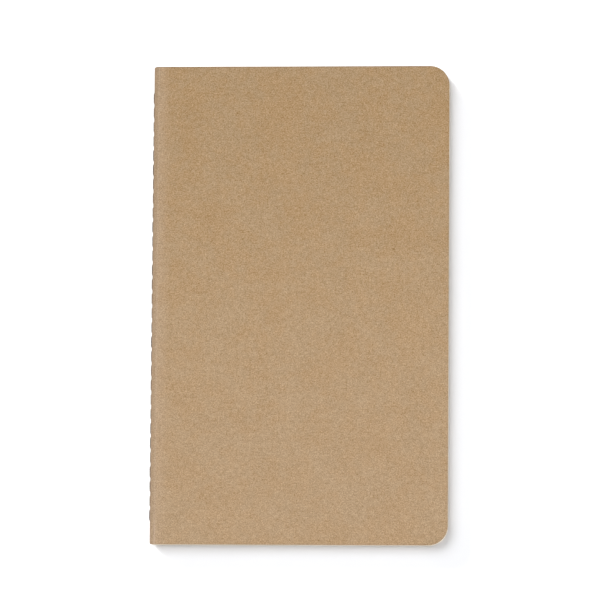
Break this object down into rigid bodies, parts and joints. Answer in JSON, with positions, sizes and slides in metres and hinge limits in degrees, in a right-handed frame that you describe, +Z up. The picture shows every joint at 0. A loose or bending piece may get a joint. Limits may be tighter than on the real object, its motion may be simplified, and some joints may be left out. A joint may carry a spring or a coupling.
{
  "type": "stitched notebook",
  "caption": "Slim kraft-covered paper notebook with a thread-sewn spine and rounded fore-edge corners, whose cover and pages open on the fold.",
  "frame": {"origin": "centre of the bounding box's bottom face, on the table under the closed notebook", "axes": "+X from the spine to the fore-edge, +Y from tail to head, +Z up out of the front cover"},
  "size_m": [0.1304, 0.21, 0.0051],
  "materials": {
    "kraft_card": "matte, uncoated, flecked with fibres",
    "ivory_paper": "matte, uncoated",
    "sewing_thread": "matte twisted thread"
  },
  "bodies": {
    "back_cover_body": {"back_cover": "kraft_card"},
    "front_cover_body": {"front_cover": "kraft_card"},
    "spine_body": {"cover_spine": "kraft_card", "outer_thread": "sewing_thread", "inner_thread": "sewing_thread", "sheet_01_fold": "ivory_paper", "sheet_02_fold": "ivory_paper", "sheet_03_fold": "ivory_paper", "sheet_04_fold": "ivory_paper", "sheet_05_fold": "ivory_paper", "sheet_06_fold": "ivory_paper", "sheet_07_fold": "ivory_paper", "sheet_08_fold": "ivory_paper", "sheet_09_fold": "ivory_paper", "sheet_10_fold": "ivory_paper", "sheet_11_fold": "ivory_paper", "sheet_12_fold": "ivory_paper", "sheet_13_fold": "ivory_paper", "sheet_14_fold": "ivory_paper", "sheet_15_fold": "ivory_paper", "sheet_16_fold": "ivory_paper"},
    "sheet_01_back": {"sheet_01_back_leaf": "ivory_paper"},
    "sheet_01_front": {"sheet_01_front_leaf": "ivory_paper"},
    "sheet_02_back": {"sheet_02_back_leaf": "ivory_paper"},
    "sheet_02_front": {"sheet_02_front_leaf": "ivory_paper"},
    "sheet_03_back": {"sheet_03_back_leaf": "ivory_paper"},
    "sheet_03_front": {"sheet_03_front_leaf": "ivory_paper"},
    "sheet_04_back": {"sheet_04_back_leaf": "ivory_paper"},
    "sheet_04_front": {"sheet_04_front_leaf": "ivory_paper"},
    "sheet_05_back": {"sheet_05_back_leaf": "ivory_paper"},
    "sheet_05_front": {"sheet_05_front_leaf": "ivory_paper"},
    "sheet_06_back": {"sheet_06_back_leaf": "ivory_paper"},
    "sheet_06_front": {"sheet_06_front_leaf": "ivory_paper"},
    "sheet_07_back": {"sheet_07_back_leaf": "ivory_paper"},
    "sheet_07_front": {"sheet_07_front_leaf": "ivory_paper"},
    "sheet_08_back": {"sheet_08_back_leaf": "ivory_paper"},
    "sheet_08_front": {"sheet_08_front_leaf": "ivory_paper"},
    "sheet_09_back": {"sheet_09_back_leaf": "ivory_paper"},
    "sheet_09_front": {"sheet_09_front_leaf": "ivory_paper"},
    "sheet_10_back": {"sheet_10_back_leaf": "ivory_paper"},
    "sheet_10_front": {"sheet_10_front_leaf": "ivory_paper"},
    "sheet_11_back": {"sheet_11_back_leaf": "ivory_paper"},
    "sheet_11_front": {"sheet_11_front_leaf": "ivory_paper"},
    "sheet_12_back": {"sheet_12_back_leaf": "ivory_paper"},
    "sheet_12_front": {"sheet_12_front_leaf": "ivory_paper"},
    "sheet_13_back": {"sheet_13_back_leaf": "ivory_paper"},
    "sheet_13_front": {"sheet_13_front_leaf": "ivory_paper"},
    "sheet_14_back": {"sheet_14_back_leaf": "ivory_paper"},
    "sheet_14_front": {"sheet_14_front_leaf": "ivory_paper"},
    "sheet_15_back": {"sheet_15_back_leaf": "ivory_paper"},
    "sheet_15_front": {"sheet_15_front_leaf": "ivory_paper"},
    "sheet_16_back": {"sheet_16_back_leaf": "ivory_paper"},
    "sheet_16_front": {"sheet_16_front_leaf": "ivory_paper"}
  },
  "joints": [
    {"name": "front_cover_hinge", "type": "hinge", "parent": "back_cover_body", "child": "front_cover_body", "pos_m": [-0.06228, 0, 0.00253], "axis": [0, -1, 0], "range_deg": [0, 179.9], "deforming": ["cover_spine"]},
    {"name": "spine_follow", "type": "hinge", "parent": "back_cover_body", "child": "spine_body", "pos_m": [-0.06228, 0, 0.00253], "axis": [0, -1, 0], "range_deg": [0, 89.95]},
    {"name": "sheet_01_back_turn", "type": "hinge", "parent": "back_cover_body", "child": "sheet_01_back", "pos_m": [-0.06228, 0, 0.00253], "axis": [0, -1, 0], "range_deg": [0, 0.08995]},
    {"name": "sheet_01_front_turn", "type": "hinge", "parent": "sheet_01_back", "child": "sheet_01_front", "pos_m": [-0.06228, 0, 0.00253], "axis": [0, -1, 0], "range_deg": [0, 179.72], "deforming": ["sheet_01_fold"]},
    {"name": "sheet_02_back_turn", "type": "hinge", "parent": "back_cover_body", "child": "sheet_02_back", "pos_m": [-0.06228, 0, 0.00253], "axis": [0, -1, 0], "range_deg": [0, 0.1799]},
    {"name": "sheet_02_front_turn", "type": "hinge", "parent": "sheet_02_back", "child": "sheet_02_front", "pos_m": [-0.06228, 0, 0.00253], "axis": [0, -1, 0], "range_deg": [0, 179.54], "deforming": ["sheet_02_fold"]},
    {"name": "sheet_03_back_turn", "type": "hinge", "parent": "back_cover_body", "child": "sheet_03_back", "pos_m": [-0.06228, 0, 0.00253], "axis": [0, -1, 0], "range_deg": [0, 0.26985]},
    {"name": "sheet_03_front_turn", "type": "hinge", "parent": "sheet_03_back", "child": "sheet_03_front", "pos_m": [-0.06228, 0, 0.00253], "axis": [0, -1, 0], "range_deg": [0, 179.36], "deforming": ["sheet_03_fold"]},
    {"name": "sheet_04_back_turn", "type": "hinge", "parent": "back_cover_body", "child": "sheet_04_back", "pos_m": [-0.06228, 0, 0.00253], "axis": [0, -1, 0], "range_deg": [0, 0.3598]},
    {"name": "sheet_04_front_turn", "type": "hinge", "parent": "sheet_04_back", "child": "sheet_04_front", "pos_m": [-0.06228, 0, 0.00253], "axis": [0, -1, 0], "range_deg": [0, 179.18], "deforming": ["sheet_04_fold"]},
    {"name": "sheet_05_back_turn", "type": "hinge", "parent": "back_cover_body", "child": "sheet_05_back", "pos_m": [-0.06228, 0, 0.00253], "axis": [0, -1, 0], "range_deg": [0, 0.44975]},
    {"name": "sheet_05_front_turn", "type": "hinge", "parent": "sheet_05_back", "child": "sheet_05_front", "pos_m": [-0.06228, 0, 0.00253], "axis": [0, -1, 0], "range_deg": [0, 179], "deforming": ["sheet_05_fold"]},
    {"name": "sheet_06_back_turn", "type": "hinge", "parent": "back_cover_body", "child": "sheet_06_back", "pos_m": [-0.06228, 0, 0.00253], "axis": [0, -1, 0], "range_deg": [0, 0.5397]},
    {"name": "sheet_06_front_turn", "type": "hinge", "parent": "sheet_06_back", "child": "sheet_06_front", "pos_m": [-0.06228, 0, 0.00253], "axis": [0, -1, 0], "range_deg": [0, 178.82], "deforming": ["sheet_06_fold"]},
    {"name": "sheet_07_back_turn", "type": "hinge", "parent": "back_cover_body", "child": "sheet_07_back", "pos_m": [-0.06228, 0, 0.00253], "axis": [0, -1, 0], "range_deg": [0, 0.62965]},
    {"name": "sheet_07_front_turn", "type": "hinge", "parent": "sheet_07_back", "child": "sheet_07_front", "pos_m": [-0.06228, 0, 0.00253], "axis": [0, -1, 0], "range_deg": [0, 178.64], "deforming": ["sheet_07_fold"]},
    {"name": "sheet_08_back_turn", "type": "hinge", "parent": "back_cover_body", "child": "sheet_08_back", "pos_m": [-0.06228, 0, 0.00253], "axis": [0, -1, 0], "range_deg": [0, 0.7196]},
    {"name": "sheet_08_front_turn", "type": "hinge", "parent": "sheet_08_back", "child": "sheet_08_front", "pos_m": [-0.06228, 0, 0.00253], "axis": [0, -1, 0], "range_deg": [0, 178.46], "deforming": ["sheet_08_fold"]},
    {"name": "sheet_09_back_turn", "type": "hinge", "parent": "back_cover_body", "child": "sheet_09_back", "pos_m": [-0.06228, 0, 0.00253], "axis": [0, -1, 0], "range_deg": [0, 0.80955]},
    {"name": "sheet_09_front_turn", "type": "hinge", "parent": "sheet_09_back", "child": "sheet_09_front", "pos_m": [-0.06228, 0, 0.00253], "axis": [0, -1, 0], "range_deg": [0, 178.28], "deforming": ["sheet_09_fold"]},
    {"name": "sheet_10_back_turn", "type": "hinge", "parent": "back_cover_body", "child": "sheet_10_back", "pos_m": [-0.06228, 0, 0.00253], "axis": [0, -1, 0], "range_deg": [0, 0.8995]},
    {"name": "sheet_10_front_turn", "type": "hinge", "parent": "sheet_10_back", "child": "sheet_10_front", "pos_m": [-0.06228, 0, 0.00253], "axis": [0, -1, 0], "range_deg": [0, 178.1], "deforming": ["sheet_10_fold"]},
    {"name": "sheet_11_back_turn", "type": "hinge", "parent": "back_cover_body", "child": "sheet_11_back", "pos_m": [-0.06228, 0, 0.00253], "axis": [0, -1, 0], "range_deg": [0, 0.98945]},
    {"name": "sheet_11_front_turn", "type": "hinge", "parent": "sheet_11_back", "child": "sheet_11_front", "pos_m": [-0.06228, 0, 0.00253], "axis": [0, -1, 0], "range_deg": [0, 177.92], "deforming": ["sheet_11_fold"]},
    {"name": "sheet_12_back_turn", "type": "hinge", "parent": "back_cover_body", "child": "sheet_12_back", "pos_m": [-0.06228, 0, 0.00253], "axis": [0, -1, 0], "range_deg": [0, 1.08]},
    {"name": "sheet_12_front_turn", "type": "hinge", "parent": "sheet_12_back", "child": "sheet_12_front", "pos_m": [-0.06228, 0, 0.00253], "axis": [0, -1, 0], "range_deg": [0, 177.74], "deforming": ["sheet_12_fold"]},
    {"name": "sheet_13_back_turn", "type": "hinge", "parent": "back_cover_body", "child": "sheet_13_back", "pos_m": [-0.06228, 0, 0.00253], "axis": [0, -1, 0], "range_deg": [0, 1.17]},
    {"name": "sheet_13_front_turn", "type": "hinge", "parent": "sheet_13_back", "child": "sheet_13_front", "pos_m": [-0.06228, 0, 0.00253], "axis": [0, -1, 0], "range_deg": [0, 177.56], "deforming": ["sheet_13_fold"]},
    {"name": "sheet_14_back_turn", "type": "hinge", "parent": "back_cover_body", "child": "sheet_14_back", "pos_m": [-0.06228, 0, 0.00253], "axis": [0, -1, 0], "range_deg": [0, 1.26]},
    {"name": "sheet_14_front_turn", "type": "hinge", "parent": "sheet_14_back", "child": "sheet_14_front", "pos_m": [-0.06228, 0, 0.00253], "axis": [0, -1, 0], "range_deg": [0, 177.38], "deforming": ["sheet_14_fold"]},
    {"name": "sheet_15_back_turn", "type": "hinge", "parent": "back_cover_body", "child": "sheet_15_back", "pos_m": [-0.06228, 0, 0.00253], "axis": [0, -1, 0], "range_deg": [0, 1.35]},
    {"name": "sheet_15_front_turn", "type": "hinge", "parent": "sheet_15_back", "child": "sheet_15_front", "pos_m": [-0.06228, 0, 0.00253], "axis": [0, -1, 0], "range_deg": [0, 177.2], "deforming": ["sheet_15_fold"]},
    {"name": "sheet_16_back_turn", "type": "hinge", "parent": "back_cover_body", "child": "sheet_16_back", "pos_m": [-0.06228, 0, 0.00253], "axis": [0, -1, 0], "range_deg": [0, 1.44]},
    {"name": "sheet_16_front_turn", "type": "hinge", "parent": "sheet_16_back", "child": "sheet_16_front", "pos_m": [-0.06228, 0, 0.00253], "axis": [0, -1, 0], "range_deg": [0, 177.02], "deforming": ["sheet_16_fold"]}
  ],
  "couplings": [
    {"joint": "spine_follow", "follows": "front_cover_hinge", "ratio": 0.5},
    {"joint": "sheet_01_back_turn", "follows": "front_cover_hinge", "ratio": 0.0005},
    {"joint": "sheet_01_front_turn", "follows": "front_cover_hinge", "ratio": 0.999},
    {"joint": "sheet_02_back_turn", "follows": "front_cover_hinge", "ratio": 0.001},
    {"joint": "sheet_02_front_turn", "follows": "front_cover_hinge", "ratio": 0.998},
    {"joint": "sheet_03_back_turn", "follows": "front_cover_hinge", "ratio": 0.0015},
    {"joint": "sheet_03_front_turn", "follows": "front_cover_hinge", "ratio": 0.997},
    {"joint": "sheet_04_back_turn", "follows": "front_cover_hinge", "ratio": 0.002},
    {"joint": "sheet_04_front_turn", "follows": "front_cover_hinge", "ratio": 0.996},
    {"joint": "sheet_05_back_turn", "follows": "front_cover_hinge", "ratio": 0.0025},
    {"joint": "sheet_05_front_turn", "follows": "front_cover_hinge", "ratio": 0.995},
    {"joint": "sheet_06_back_turn", "follows": "front_cover_hinge", "ratio": 0.003},
    {"joint": "sheet_06_front_turn", "follows": "front_cover_hinge", "ratio": 0.994},
    {"joint": "sheet_07_back_turn", "follows": "front_cover_hinge", "ratio": 0.0035},
    {"joint": "sheet_07_front_turn", "follows": "front_cover_hinge", "ratio": 0.993},
    {"joint": "sheet_08_back_turn", "follows": "front_cover_hinge", "ratio": 0.004},
    {"joint": "sheet_08_front_turn", "follows": "front_cover_hinge", "ratio": 0.992},
    {"joint": "sheet_09_back_turn", "follows": "front_cover_hinge", "ratio": 0.0045},
    {"joint": "sheet_09_front_turn", "follows": "front_cover_hinge", "ratio": 0.991},
    {"joint": "sheet_10_back_turn", "follows": "front_cover_hinge", "ratio": 0.005},
    {"joint": "sheet_10_front_turn", "follows": "front_cover_hinge", "ratio": 0.99},
    {"joint": "sheet_11_back_turn", "follows": "front_cover_hinge", "ratio": 0.0055},
    {"joint": "sheet_11_front_turn", "follows": "front_cover_hinge", "ratio": 0.989},
    {"joint": "sheet_12_back_turn", "follows": "front_cover_hinge", "ratio": 0.006},
    {"joint": "sheet_12_front_turn", "follows": "front_cover_hinge", "ratio": 0.988},
    {"joint": "sheet_13_back_turn", "follows": "front_cover_hinge", "ratio": 0.0065},
    {"joint": "sheet_13_front_turn", "follows": "front_cover_hinge", "ratio": 0.987},
    {"joint": "sheet_14_back_turn", "follows": "front_cover_hinge", "ratio": 0.007},
    {"joint": "sheet_14_front_turn", "follows": "front_cover_hinge", "ratio": 0.986},
    {"joint": "sheet_15_back_turn", "follows": "front_cover_hinge", "ratio": 0.0075},
    {"joint": "sheet_15_front_turn", "follows": "front_cover_hinge", "ratio": 0.985},
    {"joint": "sheet_16_back_turn", "follows": "front_cover_hinge", "ratio": 0.008},
    {"joint": "sheet_16_front_turn", "follows": "front_cover_hinge", "ratio": 0.984}
  ]
}
